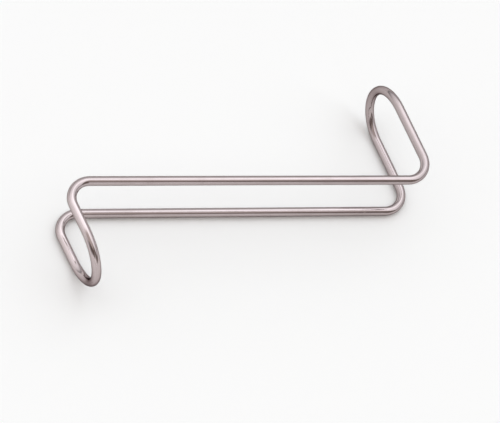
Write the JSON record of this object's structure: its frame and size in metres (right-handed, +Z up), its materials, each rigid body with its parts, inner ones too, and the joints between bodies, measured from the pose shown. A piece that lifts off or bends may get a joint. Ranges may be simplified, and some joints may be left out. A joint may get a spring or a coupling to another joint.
{
  "type": "surgical retractor",
  "caption": "Hand-held retractor bent from round polished steel rod into a closed loop: side-by-side handle rods, with a short and a long hooked loop at opposite ends.",
  "frame": {"origin": "on the table, under the middle of the bounding box of the retractor as it lies on its side", "axes": "+X along the handle towards the long blade, +Y to the side that the long blade reaches to, +Z up, from the loop's lower side to its upper side"},
  "size_m": [0.16, 0.091, 0.036],
  "materials": {
    "polished_steel": "bright polished stainless steel with a faint grain along the rod"
  },
  "bodies": {
    "root": {"bent_rod_loop": "polished_steel"}
  },
  "joints": []
}
